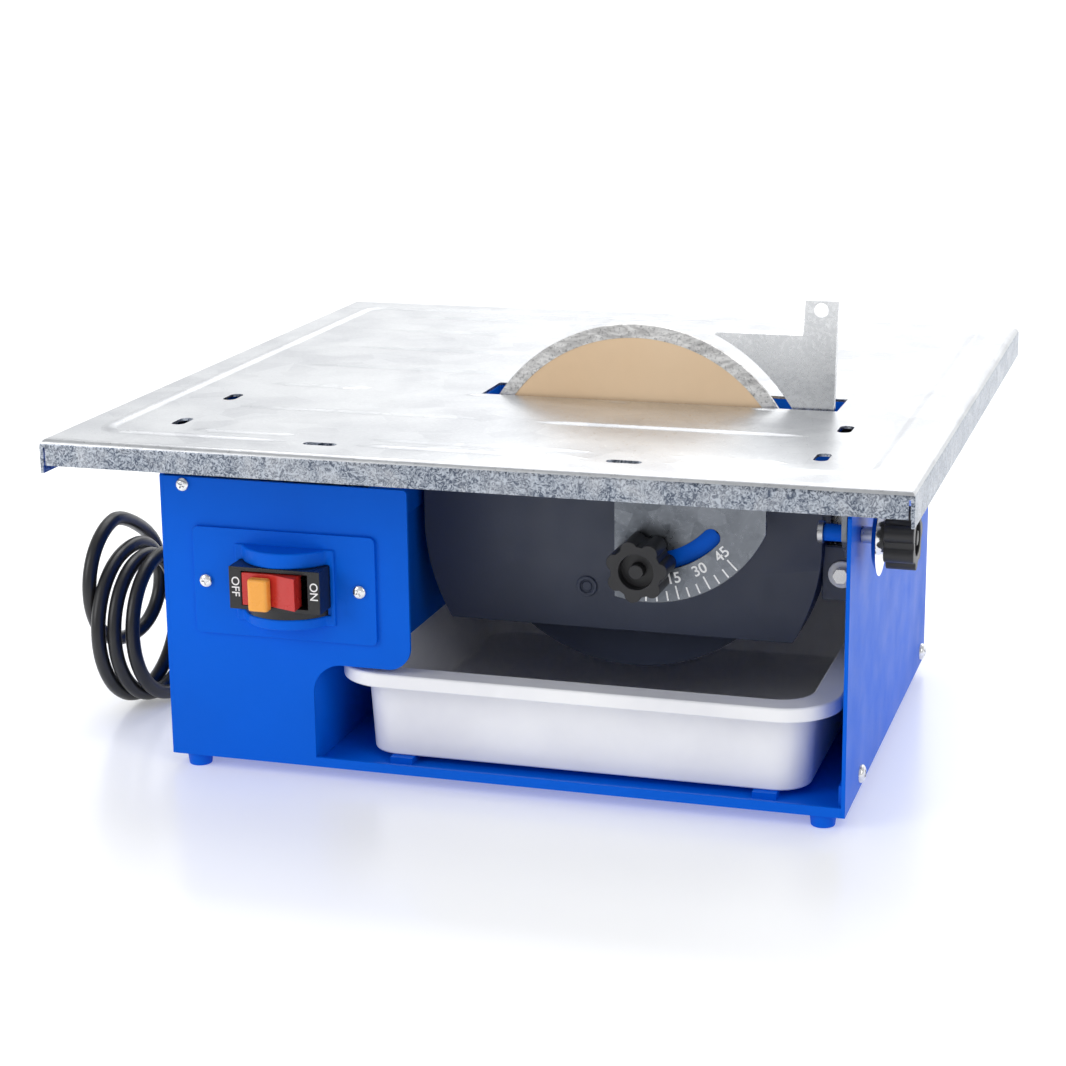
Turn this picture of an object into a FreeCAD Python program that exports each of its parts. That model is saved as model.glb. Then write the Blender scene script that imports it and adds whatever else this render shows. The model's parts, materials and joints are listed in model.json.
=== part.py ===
import FreeCAD, Part
import math
import os
import re
from FreeCAD import Placement, Rotation, Vector

# Tabletop tile cutter, millimetres. Origin on the floor under the middle of the table,
# +X to the right along the switch face, +Y to the back, +Z up.

os.makedirs("parts", exist_ok=True)
doc = FreeCAD.newDocument("TileCutter")

SIZES = {
    # table
    "table_half": 215, "table_top_z": 186, "table_sheet": 1.5,
    "side_apron": 17.5, "end_apron": 13.5, "bend": 4,
    "slot_left": -38, "slot_right": 152, "slot_front": -56.5, "slot_back": -25,
    "frame_wall": 1.5, "frame_deep": 10,
    # case
    "case_half": 178, "case_front": -160, "case_back": 108, "case_low": 7,
    "case_sheet": 2, "wall_top": 181, "panel_top": 157,
    "bay_left": -97, "bay_step_x": -44, "bay_step_z": 63, "shaft_bay": -66,
    "foot_radius": 6.8,
    # tilt: hinge line of the table and the clamp of the right ear
    "hinge_y": -130, "hinge_z": 174, "pin_radius": 3, "run_fit": 0.04,
    "clamp_drop": 32, "bolt_radius": 2.95, "ear_sheet": 2.5,
    # tilt scale on the front
    "scale_x": 73.3, "scale_z": 168, "scale_front": -139.5, "scale_sheet": 1.5,
    "scale_radius": 65.5, "scale_slot": 44.5, "scale_slot_half": 4.5,
    "knob_lobe": 4.3, "knob_ring": 11.4, "knob_deep": 19,
    # blade and motor, all on one shaft
    "shaft_x": 46, "shaft_z": 136, "shaft_radius": 6, "blade_radius": 90, "rim_width": 7,
    "blade_y": -53, "core_thick": 1.6, "rim_thick": 2.2, "flange_radius": 20,
    "motor_radius": 37, "motor_wall": 3, "bearing_radius": 14, "rotor_radius": 24,
    "plate_front": -33, "plate_back": -29,
    # guard round the lower part of the blade
    "guard_z": 125, "guard_radius": 106, "guard_wall": 2.5, "guard_low": 71.5,
    "guard_top": 168, "guard_front_y": -90,
    # water tray
    "tray_rim": 60.5, "tray_low": 12.5, "tray_left": -77.3, "tray_right": 159,
    "tray_front": -149, "tray_back": 72, "tray_flange": 12, "tray_wall": 2.5,
    # switch
    "switch_x": -109.5, "rocker_y": -170, "body_low": 94.5, "body_high": 116.5,
    # cord
    "cord_radius": 4, "cord_x": -130, "cord_z": 58,
    "coil_radius": 36.5, "coil_thick": 18.5,
}
BIND = re.compile(r"\b(" + "|".join(sorted(SIZES, key=len, reverse=True)) + r")\b")
TURN = {
    "X": Rotation(Vector(0, 1, 0), 90),
    "Y": Rotation(Vector(1, 0, 0), -90),
    "Z": Rotation(),
}
NODES = []

sheet = doc.addObject("Spreadsheet::Sheet", "Sizes")
for row, (alias, number) in enumerate(SIZES.items(), 1):
    cell = "A%d" % row
    sheet.set(cell, str(number))
    sheet.setAlias(cell, alias)
doc.recompute()


def bind(obj, prop, formula):
    """Drive one property from the sheet."""
    obj.setExpression(prop, BIND.sub(r"Sizes.\1", str(formula)))


def box(name, xs, ys, zs):
    """Block between two values on each axis."""
    obj = doc.addObject("Part::Box", name)
    spans = (("Length", "x", xs), ("Width", "y", ys), ("Height", "z", zs))
    for prop, axis, (low, high) in spans:
        bind(obj, prop, "(%s) - (%s)" % (high, low))
        bind(obj, "Placement.Base." + axis, low)
    return obj


def rod(name, axis, at, span, radius, end_radius=None):
    """Cylinder, or cone when an end radius is given, along one axis."""
    kind = "Part::Cylinder" if end_radius is None else "Part::Cone"
    obj = doc.addObject(kind, name)
    if end_radius is None:
        bind(obj, "Radius", radius)
    else:
        bind(obj, "Radius1", radius)
        bind(obj, "Radius2", end_radius)
    bind(obj, "Height", "(%s) - (%s)" % (span[1], span[0]))
    obj.Placement = Placement(Vector(), TURN[axis])
    across = [letter for letter in "xyz" if letter != axis.lower()]
    for letter, formula in zip(across, at):
        bind(obj, "Placement.Base." + letter, formula)
    bind(obj, "Placement.Base." + axis.lower(), span[0])
    return obj


def fuse(name, *pieces):
    obj = doc.addObject("Part::MultiFuse", name)
    obj.Shapes = list(pieces)
    obj.Refine = True
    return obj


def cut(name, base, *tools):
    obj = doc.addObject("Part::Cut", name)
    obj.Base = base
    obj.Tool = tools[0] if len(tools) == 1 else fuse(name + "_tools", *tools)
    obj.Refine = True
    return obj


def common(name, base, tool):
    obj = doc.addObject("Part::Common", name)
    obj.Base = base
    obj.Tool = tool
    return obj


def group(name, *pieces):
    """Equal fasteners in one node, each its own solid."""
    obj = doc.addObject("Part::Compound", name)
    obj.Links = list(pieces)
    return obj


def ring(name, axis, at, span, outer, inner):
    return cut(name, rod(name + "_outer", axis, at, span, outer),
               rod(name + "_bore", axis, at, span, inner))


def rounded(corners):
    """Edges of a closed outline, its corners (x, y, radius) rounded."""
    starts, ends, edges = [], [], []
    total = len(corners)
    for index, (across, along, radius) in enumerate(corners):
        here = Vector(across, along, 0)
        back = Vector(*corners[index - 1][:2], 0) - here
        ahead = Vector(*corners[(index + 1) % total][:2], 0) - here
        back.normalize()
        ahead.normalize()
        if not radius:
            starts.append(here)
            ends.append(here)
            continue
        half = back.getAngle(ahead) / 2
        reach = radius / math.tan(half)
        inward = back + ahead
        inward.normalize()
        middle = here + inward * (radius / math.sin(half) - radius)
        starts.append(here + back * reach)
        ends.append(here + ahead * reach)
        edges.append(Part.Arc(starts[-1], middle, ends[-1]))
    for index in range(total):
        edges.append(Part.LineSegment(ends[index], starts[(index + 1) % total]))
    return edges


def arc_slot(centre, radius, half, first, last):
    """Edges of a slot bent along an arc; angles in degrees."""
    def point(distance, degrees):
        turn = math.radians(degrees)
        return Vector(centre[0] + distance * math.cos(turn),
                      centre[1] + distance * math.sin(turn), 0)

    middle = (first + last) / 2
    past = math.degrees(half / radius)
    low, high = radius - half, radius + half
    return [
        Part.Arc(point(high, first), point(high, middle), point(high, last)),
        Part.Arc(point(high, last), point(radius, last + past), point(low, last)),
        Part.Arc(point(low, last), point(low, middle), point(low, first)),
        Part.Arc(point(low, first), point(radius, first - past), point(high, first)),
    ]


def sketch_on(body, name, plane, edges):
    sketch = body.newObject("Sketcher::SketchObject", name)
    planes = [item for item in body.Origin.OriginFeatures if item.Role == plane]
    sketch.AttachmentSupport = [(planes[0], "")]
    sketch.MapMode = "FlatFace"
    sketch.addGeometry(edges, False)
    return sketch


def slab(name, plane, edges, span):
    """Plate of one outline between two values on the axis square to its plane."""
    body = doc.addObject("PartDesign::Body", name)
    sketch = sketch_on(body, name + "_outline", plane, edges)
    pad = body.newObject("PartDesign::Pad", name + "_pad")
    pad.Profile = sketch
    bind(pad, "Length", "(%s) - (%s)" % (span[1], span[0]))
    axis = {"XY_Plane": "z", "XZ_Plane": "y", "YZ_Plane": "x"}[plane]
    bind(body, "Placement.Base." + axis, span[1] if axis == "y" else span[0])
    body.Tip = pad
    return body


def node(label, obj):
    """Name a finished sub-part."""
    obj.Label = label
    NODES.append(obj)
    return obj


S = SIZES
SHEET = "case_sheet"
INSIDE = ("-case_half + case_sheet", "case_half - case_sheet")
SHAFT = ("shaft_x", "shaft_z")
HINGE = ("hinge_y", "hinge_z")
CLAMP = ("hinge_y", "hinge_z - clamp_drop")

# --- case -------------------------------------------------------------------------------
pan_lip = 15
pan_floor = box("pan_floor", INSIDE, ("case_front + case_sheet", "case_back - case_sheet"),
                ("case_low", "case_low + case_sheet"))
pan_front = box("pan_front", ("bay_left", "case_half - case_sheet"),
                ("case_front", "case_front + case_sheet"), ("case_low", "case_low + 5"))
pan_sides = [
    box("pan_left", ("-case_half + case_sheet", "-case_half + 2 * case_sheet"),
        ("case_front + 4", "case_back - 4"), ("case_low + case_sheet", "case_low + %d" % pan_lip)),
    box("pan_right", ("case_half - 2 * case_sheet", "case_half - case_sheet"),
        ("case_front + 4", "case_back - 4"), ("case_low + case_sheet", "case_low + %d" % pan_lip)),
]
tray_ribs = [
    box("tray_rib_%d" % index, (x, x + 12), (-150, 80), ("case_low + case_sheet", "tray_low - 0.1"))
    for index, x in enumerate((-60, 130))
]
side_screw_places = [(-117, 15), (92, 15)]
side_screws = []
side_holes = []
for side in (-1, 1):
    for y, z in side_screw_places:
        tag = "side_%d_%d" % (side + 1, y + 200)
        outer = "case_half + 2.4" if side > 0 else "-case_half - 2.4"
        face = "case_half" if side > 0 else "-case_half"
        tip = "case_half - 6" if side > 0 else "-case_half + 6"
        head_span = (face, outer) if side > 0 else (outer, face)
        shank_span = (tip, face) if side > 0 else (face, tip)
        head = rod(tag + "_head", "X", (y, z), head_span, 4.8)
        shank = rod(tag + "_shank", "X", (y, z), shank_span, 2)
        side_screws.append(fuse(tag, head, shank))
        side_holes.append(rod(tag + "_hole", "X", (y, z), shank_span, 2))
node("base_pan", cut("base_pan_solid",
                     fuse("pan_all", pan_floor, pan_front, *pan_sides, *tray_ribs), *side_holes))

cut_front = S["case_front"]
cut_top = S["wall_top"]
cut_step = S["wall_top"] - S["panel_top"]
wall_outline = [
    (cut_front, S["case_low"], 0), (S["case_back"], S["case_low"], 0),
    (S["case_back"], cut_top, 0), (cut_front + cut_step, cut_top, 0), (cut_front, S["panel_top"], 0),
]
for side, label in ((-1, "left_wall"), (1, "right_wall")):
    low = "case_half - case_sheet" if side > 0 else "-case_half"
    high = "case_half" if side > 0 else "-case_half + case_sheet"
    plate = slab(label + "_plate", "YZ_Plane", rounded(wall_outline), (low, high))
    holes = [rod(label + "_hinge_hole", "X", HINGE, (low, high), "pin_radius")]
    for y, z in side_screw_places:
        holes.append(rod("%s_hole_%d" % (label, y + 200), "X", (y, z), (low, high), 2))
    if side > 0:
        holes.append(rod(label + "_clamp_hole", "X", CLAMP, (low, high), "bolt_radius"))
    node(label, cut(label + "_solid", plate, *holes))

back_sheet = box("back_sheet", INSIDE, ("case_back - case_sheet", "case_back"),
                 ("case_low", "wall_top"))
back_flange = box("back_flange", INSIDE, ("case_back - 12", "case_back"),
                  ("wall_top - case_sheet", "wall_top"))
grip_hole = rod("grip_hole", "Y", ("cord_x", "cord_z"), ("case_back - 3", "case_back + 1"), 8)
node("rear_wall", cut("rear_wall_solid", fuse("rear_all", back_sheet, back_flange), grip_hole))

switch_screw_x = (-153.3, -69.4)
switch_screw_z = 103.6
corner_screw = (-165, 153)
panel_screws = [(x, switch_screw_z) for x in switch_screw_x] + [corner_screw]
panel_outline = [
    (-176, 7, 0), (S["bay_left"], 7, 0), (S["bay_left"], S["bay_step_z"], 16),
    (S["bay_step_x"], S["bay_step_z"], 12), (S["bay_step_x"], S["panel_top"], 2),
    (-176, S["panel_top"], 0),
]
panel = slab("panel_plate", "XZ_Plane", rounded(panel_outline),
             ("case_front", "case_front + case_sheet"))
switch_window = box("switch_window", ("switch_x - 22.5", "switch_x + 22.5"),
                    ("case_front - 3", "case_front + 3"), ("body_low + 0.5", "body_high - 0.5"))
panel_holes = [
    rod("panel_hole_%d" % index, "Y", place, ("case_front - 3", "case_front + 3"), 1.8)
    for index, place in enumerate(panel_screws)
]
node("front_panel", cut("front_panel_solid", panel, switch_window, *panel_holes))

bay_depth = ("case_front + case_sheet", "case_back - case_sheet")
node("inner_partition", fuse(
    "partition_all",
    box("partition_upper", ("shaft_bay - case_sheet", "shaft_bay"), bay_depth,
        ("bay_step_z", "panel_top - 2")),
    box("partition_shelf", ("bay_left - case_sheet", "shaft_bay"), bay_depth,
        ("bay_step_z", "bay_step_z + case_sheet")),
    box("partition_lower", ("bay_left - case_sheet", "bay_left"), bay_depth,
        ("case_low + case_sheet", "bay_step_z + case_sheet"))))

rail_back = "-102"
node("cross_rail", fuse(
    "rail_all",
    box("rail_web", ("shaft_bay", 171), (-106, rail_back), (155, "hinge_z")),
    box("rail_left", ("shaft_bay", "shaft_bay + 2"), (-106, -80), (130, "hinge_z")),
    box("rail_return", (169, 171), (-106, -84), (155, "hinge_z")),
    box("rail_right", (169, "case_half - case_sheet"), (-86, -84), (155, "hinge_z"))))

scale_span = ("scale_front", "scale_front + scale_sheet")
scale_round = rod("scale_round", "Y", ("scale_x", "scale_z"), scale_span, "scale_radius")
scale_field = box("scale_field", (57, 133), scale_span, (90, "hinge_z"))
scale_flange = box("scale_flange", (57, 133), ("scale_front", -100),
                   ("hinge_z", "hinge_z + scale_sheet"))
scale_body = fuse("scale_body", common("scale_face", scale_round, scale_field), scale_flange)
scale_tool = slab("scale_tool", "XZ_Plane",
                  arc_slot((S["scale_x"], S["scale_z"]), S["scale_slot"], S["scale_slot_half"], -90, -43),
                  ("scale_front - 1", "scale_front + 3"))
pivot_hole = rod("pivot_hole", "Y", ("scale_x", "scale_z"), scale_span, "pin_radius")
node("scale_plate", cut("scale_plate_solid", scale_body, scale_tool, pivot_hole))

feet = []
for x in (-166, 166):
    for y in (-152, 98):
        tag = "foot_%d_%d" % (x + 200, y + 200)
        feet.append(rod(tag, "Z", (x, y), (0, "case_low"), "foot_radius - 0.8", "foot_radius"))
node("rubber_feet", group("feet", *feet))

node("body_screws", group("body_screw_group", *side_screws))
node("rest_pads", group(
    "pad_group",
    box("pad_left", (-130, -110), (97, 107), ("wall_top", "table_top_z - table_sheet - 0.2")),
    box("pad_right", (110, 130), (97, 107), ("wall_top", "table_top_z - table_sheet - 0.2"))))

# --- table hinge and right clamp --------------------------------------------------------
pins = []
for side in (-1, 1):
    face = "case_half" if side > 0 else "-case_half"
    outer = "case_half + 2.5" if side > 0 else "-case_half - 2.5"
    inner = "case_half - 8" if side > 0 else "-case_half + 8"
    head_span = (face, outer) if side > 0 else (outer, face)
    pin_span = (inner, face) if side > 0 else (face, inner)
    pins.append(fuse("pin_%d" % (side + 1),
                     rod("pin_head_%d" % (side + 1), "X", HINGE, head_span, 5.5),
                     rod("pin_shank_%d" % (side + 1), "X", HINGE, pin_span, "pin_radius")))
node("hinge_pins", group("pin_group", *pins))
bolt_head = rod("clamp_head", "X", CLAMP, ("case_half - 21", "case_half - 18"), 5.5)
bolt_shank = rod("clamp_shank", "X", CLAMP, ("case_half - 21", "case_half + 20.5"), "bolt_radius")
node("clamp_bolt_right", fuse("clamp_bolt_solid", bolt_head, bolt_shank))
node("clamp_sleeve", ring("sleeve", "X", CLAMP, ("case_half - 18", "case_half - 5.5"), 4.2,
                          "bolt_radius"))
node("clamp_spacer", ring("spacer", "X", CLAMP, ("case_half", "case_half + 7"), 4, "bolt_radius"))
washer_cup = rod("washer_cup", "X", CLAMP, ("case_half + 7", "case_half + 9.5"), 15, 19.5)
washer_hollow = rod("washer_hollow", "X", CLAMP, ("case_half + 8.2", "case_half + 9.5"), 14.8, 18.6)
washer_boss = rod("washer_boss", "X", CLAMP, ("case_half + 7.5", "case_half + 12.3"), 10, 8)
washer_bore = rod("washer_bore", "X", CLAMP, ("case_half + 6", "case_half + 13"), "bolt_radius")
node("clamp_washer", cut("clamp_washer_solid",
                         fuse("washer_all", cut("washer_dish", washer_cup, washer_hollow), washer_boss),
                         washer_bore))


KNOB_LOBES = 7


def star_knob(name, axis, at, near, far, hollow):
    """Lobed knob; its open cup faces away from the bolt."""
    low, high = sorted((near, far))
    pieces = [rod(name + "_core", axis, at, (low, high), "knob_ring + 1.5")]
    for index in range(KNOB_LOBES):
        turn = math.radians(360 / KNOB_LOBES * index + 5)
        first = "%s + knob_ring * %.4f" % (at[0], math.cos(turn))
        second = "%s + knob_ring * %.4f" % (at[1], math.sin(turn))
        pieces.append(rod("%s_lobe_%d" % (name, index), axis, (first, second), (low, high), "knob_lobe"))
    cup = (far - hollow, far) if far > near else (far, far + hollow)
    bore = (near, far - hollow - 2) if far > near else (far + hollow + 2, near)
    cup_ring = ring(name + "_cup", axis, at, cup, 8.8, 3.6)
    return cut(name + "_solid", fuse(name + "_star", *pieces), cup_ring,
               rod(name + "_bore", axis, at, bore, "bolt_radius + run_fit"))


right_near = S["case_half"] + 12.5
node("clamp_knob_right", star_knob("right_knob", "X", CLAMP, right_near, right_near + 14.5, 4))

# --- front tilt arm with its bolt and knob ----------------------------------------------
arm_span = ("scale_front + 3", "scale_front + 5")
arm_radius = S["scale_slot"] + 8
arm_edges = []
arm_points = [Vector(S["scale_x"] - 7, S["scale_z"], 0)]
for degrees in (-98, -69, -40):
    turn = math.radians(degrees)
    arm_points.append(Vector(S["scale_x"] + arm_radius * math.cos(turn),
                             S["scale_z"] + arm_radius * math.sin(turn), 0))
arm_points.append(Vector(S["scale_x"] + 7, S["scale_z"], 0))
top_of_arm = Vector(S["scale_x"], S["scale_z"] + 5, 0)
arm_edges = [
    Part.LineSegment(arm_points[0], arm_points[1]),
    Part.Arc(arm_points[1], arm_points[2], arm_points[3]),
    Part.LineSegment(arm_points[3], arm_points[4]),
    Part.Arc(arm_points[4], top_of_arm, arm_points[0]),
]
arm_plate = slab("arm_plate", "XZ_Plane", arm_edges, arm_span)
FRONT_BOLT = ("scale_x", "scale_z - scale_slot")
arm_pin_hole = rod("arm_pin_hole", "Y", ("scale_x", "scale_z"), arm_span, "pin_radius + run_fit")
arm_bolt_hole = rod("arm_bolt_hole", "Y", FRONT_BOLT, arm_span, "bolt_radius")
node("tilt_arm", cut("tilt_arm_solid", arm_plate, arm_pin_hole, arm_bolt_hole))
node("arm_pivot", fuse(
    "arm_pivot_solid",
    rod("pivot_head", "Y", ("scale_x", "scale_z"), ("scale_front - 2", "scale_front"), 5),
    rod("pivot_shank", "Y", ("scale_x", "scale_z"), ("scale_front", "scale_front + 7"), "pin_radius"),
    rod("pivot_tail", "Y", ("scale_x", "scale_z"), ("scale_front + 5.5", "scale_front + 7"), 5)))
node("clamp_bolt_front", fuse(
    "front_bolt_solid",
    rod("front_bolt_head", "Y", FRONT_BOLT, ("scale_front + 5", "scale_front + 8"), 5.5),
    rod("front_bolt_shank", "Y", FRONT_BOLT, ("scale_front - 11.5", "scale_front + 5"), "bolt_radius")))
front_near = S["scale_front"] - 1.5
node("clamp_knob_front", star_knob("front_knob", "Y", FRONT_BOLT, front_near,
                                   front_near - S["knob_deep"], 6))

# --- table ------------------------------------------------------------------------------
TABLE = ("-table_half", "table_half")
TABLE_IN = ("-table_half + table_sheet", "table_half - table_sheet")
under = "table_top_z - table_sheet"


def top_edges(shape, level):
    """Numbers of the straight edges that lie at one height."""
    found = []
    for index, edge in enumerate(shape.Edges, 1):
        if abs(edge.BoundBox.ZMin - level) < 0.01 and abs(edge.BoundBox.ZMax - level) < 0.01:
            found.append(index)
    return found


def softened(name, block, level, radius):
    doc.recompute()
    obj = doc.addObject("Part::Fillet", name)
    obj.Base = block
    obj.Edges = [(index, radius, radius) for index in top_edges(block.Shape, level)]
    return obj


table_block = box("table_block", TABLE, TABLE, ("table_top_z - side_apron", "table_top_z"))
table_room = box("table_room", TABLE_IN, TABLE_IN,
                 ("table_top_z - side_apron", "table_top_z - table_sheet"))
outer_skin = softened("outer_skin", table_block, S["table_top_z"], S["bend"])
inner_skin = softened("inner_skin", table_room, S["table_top_z"] - S["table_sheet"],
                      S["bend"] - S["table_sheet"])
table_cuts = [inner_skin,
              box("blade_opening", ("slot_left", "slot_right"), ("slot_front", "slot_back"), (180, 190))]
for side in (-1, 1):
    near = "-table_half - 1" if side < 0 else "table_half - table_sheet"
    far = "-table_half + table_sheet" if side < 0 else "table_half + 1"
    table_cuts.append(box("apron_trim_%d" % (side + 1), TABLE_IN, (near, far),
                          (160, "table_top_z - end_apron")))
    for corner in (-1, 1):
        edge = corner * (S["table_half"] - 2.4)
        table_cuts.append(box("corner_gap_%d_%d" % (side + 1, corner + 1), (edge - 0.5, edge + 0.5),
                              (near, far), (160, "table_top_z - bend - 0.5")))
for side in (-1, 1):
    for x, y in ((163.5, -97), (163.5, -160)):
        outline = [(x * side - 3.5, y - 8, 3.49), (x * side + 3.5, y - 8, 3.49),
                   (x * side + 3.5, y + 8, 3.49), (x * side - 3.5, y + 8, 3.49)]
        table_cuts.append(slab("fence_slot_%d_%d" % (side + 1, y + 300), "XY_Plane",
                               rounded(outline), (180, 190)))
    x, y = 76, -192
    outline = [(x * side - 8.5, y - 3, 2.99), (x * side + 8.5, y - 3, 2.99),
               (x * side + 8.5, y + 3, 2.99), (x * side - 8.5, y + 3, 2.99)]
    table_cuts.append(slab("front_slot_%d" % (side + 1), "XY_Plane", rounded(outline), (180, 190)))
node("table_top", cut("table_top_solid", outer_skin, *table_cuts))

node("slot_frame", cut(
    "slot_frame_solid",
    box("frame_block", ("slot_left - frame_wall", "slot_right + frame_wall"),
        ("slot_front - frame_wall", "slot_back + frame_wall"), (under + " - frame_deep", under)),
    box("frame_room", ("slot_left", "slot_right"), ("slot_front", "slot_back"),
        (under + " - frame_deep", under))))

ear_top = S["table_top_z"] - S["table_sheet"]
left_ear_outline = [(-150, ear_top, 0), (-110, ear_top, 0), (-119, 165, 8), (-141, 165, 8)]
left_ear = slab("left_ear", "YZ_Plane", rounded(left_ear_outline),
                ("-case_half + case_sheet + 0.5", "-case_half + case_sheet + 0.5 + ear_sheet"))
node("ear_left", cut("ear_left_solid", left_ear,
                     rod("left_ear_hole", "X", HINGE, (-180, -160), "pin_radius + run_fit")))
right_ear_outline = [
    (-159, ear_top, 0), (-159, 146, 4), (-147, 134, 6), (-119, 134, 6), (-113, 146, 4),
    (-113, ear_top, 0),
]
right_ear = slab("right_ear", "YZ_Plane", rounded(right_ear_outline),
                 ("case_half - case_sheet - 0.5 - ear_sheet", "case_half - case_sheet - 0.5"))
right_ear_slot = slab("right_ear_slot", "YZ_Plane",
                      arc_slot((S["hinge_y"], S["hinge_z"]), S["clamp_drop"],
                               S["bolt_radius"] + 0.4, -135, -90), (160, 185))
node("ear_right", cut("ear_right_solid", right_ear, right_ear_slot,
                      rod("right_ear_hole", "X", HINGE, (160, 185), "pin_radius + run_fit")))

# --- blade, shaft and motor -------------------------------------------------------------
core = ("blade_y - core_thick / 2", "blade_y + core_thick / 2")
rim = ("blade_y - rim_thick / 2", "blade_y + rim_thick / 2")
node("blade_core", ring("core", "Y", SHAFT, core, "blade_radius - rim_width", 11.1))
node("blade_rim", ring("rim", "Y", SHAFT, rim, "blade_radius", "blade_radius - rim_width"))
flange_disc = ring("flange_disc", "Y", SHAFT, (core[1], "blade_y + 7"), "flange_radius", "shaft_radius")
flange_hub = ring("flange_hub", "Y", SHAFT, core, 11.1, "shaft_radius")
node("flange_inner", fuse("flange_inner_solid", flange_disc, flange_hub))
node("flange_outer", cut(
    "flange_outer_solid",
    rod("flange_cone", "Y", SHAFT, ("blade_y - 7", core[0]), "flange_radius - 4", "flange_radius"),
    rod("flange_cone_bore", "Y", SHAFT, ("blade_y - 7", core[0]), "shaft_radius")))
nut_prism = doc.addObject("Part::Prism", "nut_prism")
nut_prism.Polygon = 6
bind(nut_prism, "Circumradius", 11)
bind(nut_prism, "Height", 8)
nut_prism.Placement = Placement(Vector(S["shaft_x"], S["blade_y"] - 15, S["shaft_z"]), TURN["Y"])
node("arbor_nut", cut("arbor_nut_solid", nut_prism,
                      rod("nut_bore", "Y", SHAFT, ("blade_y - 15", "blade_y - 7"), "shaft_radius")))
node("motor_shaft", rod("shaft", "Y", SHAFT, ("blade_y - 17", 72), "shaft_radius"))
node("motor_rotor", ring("rotor", "Y", SHAFT, (-8, 46), "rotor_radius", "shaft_radius"))
node("cooling_fan", ring("fan", "Y", SHAFT, (50, 56), 31, "shaft_radius"))

motor_inner = "motor_radius - motor_wall"
motor_can = rod("motor_can", "Y", SHAFT, ("plate_back", 60), "motor_radius")
motor_room = rod("motor_room", "Y", SHAFT, ("plate_back + 12", 60), motor_inner)
front_seat = rod("front_seat", "Y", SHAFT, ("plate_back", "plate_back + 12"), "bearing_radius")
node("motor_housing", cut("motor_housing_solid", motor_can, motor_room, front_seat))
cover = rod("cover", "Y", SHAFT, (60, 76), "motor_radius")
cover_seat = rod("cover_seat", "Y", SHAFT, (60, 74), "bearing_radius")
node("motor_end_cover", cut("motor_end_cover_solid", cover, cover_seat))
node("motor_stator", ring("stator", "Y", SHAFT, (-6, 44), motor_inner, "rotor_radius + 0.6"))
node("motor_bearings", group(
    "bearing_group",
    ring("bearing_front", "Y", SHAFT, ("plate_back + 1", "plate_back + 11"), "bearing_radius",
         "shaft_radius + run_fit"),
    ring("bearing_rear", "Y", SHAFT, (61, 71), "bearing_radius", "shaft_radius + run_fit")))
mount_plate = box("mount_plate", ("shaft_bay", "case_half - case_sheet"),
                  ("plate_front", "plate_back"), (92, 172))
node("motor_plate", cut("motor_plate_solid", mount_plate,
                        rod("plate_bore", "Y", SHAFT, ("plate_front", "plate_back"), 12)))

# --- guard and riving knife -------------------------------------------------------------


def guard_block(name, inset, ys):
    """Half-round block round the lower part of the blade, flat at the bottom."""
    reach = "(guard_radius - %s)" % inset
    disc = rod(name + "_disc", "Y", ("shaft_x", "guard_z"), ys, reach)
    sides = ("shaft_x - " + reach, "shaft_x + " + reach)
    upper = box(name + "_upper", sides, ys, ("guard_z", "guard_top - %s / 2" % inset))
    window = box(name + "_window", sides, ys,
                 ("guard_low + %s" % inset, "guard_top - %s / 2" % inset))
    return common(name, fuse(name + "_round", disc, upper), window)


front_shell = cut("front_shell",
                  guard_block("guard_outer", 0, ("guard_front_y", "guard_front_y + 24")),
                  guard_block("guard_hollow", "guard_wall",
                              ("guard_front_y + guard_wall", "guard_front_y + 24")))
GUARD_BOLT = (161, 108)
guard_tab = box("guard_tab", ("shaft_x + guard_radius - 1", 172), (-83, -80), (94, 122))
BOSS = (29, 94)
guard_boss = ring("guard_boss", "Y", BOSS, ("guard_front_y - 1.2", "guard_front_y"), 5.4, 3.6)
boss_button = rod("boss_button", "Y", BOSS, ("guard_front_y - 0.7", "guard_front_y"), 2.6)
SKIRT = ("blade_y - 9", "blade_y - 6.5")
skirt = common("skirt", rod("skirt_disc", "Y", SHAFT, SKIRT, "blade_radius + 2.5"),
               box("skirt_window", ("shaft_x - 90", "shaft_x + 90"), SKIRT, (40, "guard_low + guard_wall")))
skirt_floor = box("skirt_floor", ("shaft_x - 66", "shaft_x + 66"), ("guard_front_y + 24", SKIRT[1]),
                  ("guard_low", "guard_low + guard_wall"))
node("guard_front", cut("guard_front_solid",
                        fuse("guard_front_all", front_shell, guard_tab, guard_boss, boss_button,
                             skirt, skirt_floor),
                        rod("guard_tab_hole", "Y", GUARD_BOLT, (-83, -80), 3)))
rear_shell = cut("rear_shell", guard_block("rear_outer", 6, (-47, "plate_front")),
                 guard_block("rear_hollow", 8.5, (-44.5, "plate_front")))
node("guard_rear", cut("guard_rear_solid", rear_shell,
                       rod("guard_rear_hole", "Y", SHAFT, (-48, -32), 23)))
bracket = fuse("bracket_all",
               box("bracket_face", (153, 172), (-80, -77), (94, 122)),
               box("bracket_leg", (169, 172), (-80, "plate_front"), (94, 122)))
node("guard_bracket", cut("guard_bracket_solid", bracket,
                          rod("bracket_hole", "Y", GUARD_BOLT, (-80, -77), 3)))
node("guard_washer", ring("guard_washer_ring", "Y", GUARD_BOLT, (-84.5, -83), 7, 3))
hex_head = doc.addObject("Part::Prism", "hex_head")
hex_head.Polygon = 6
bind(hex_head, "Circumradius", 4.3)
bind(hex_head, "Height", 4)
hex_head.Placement = Placement(Vector(GUARD_BOLT[0], -88.5, GUARD_BOLT[1]), TURN["Y"])
node("guard_bolt", fuse("guard_bolt_solid", hex_head,
                        rod("guard_bolt_shank", "Y", GUARD_BOLT, (-84.5, -73), 3)))

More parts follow.
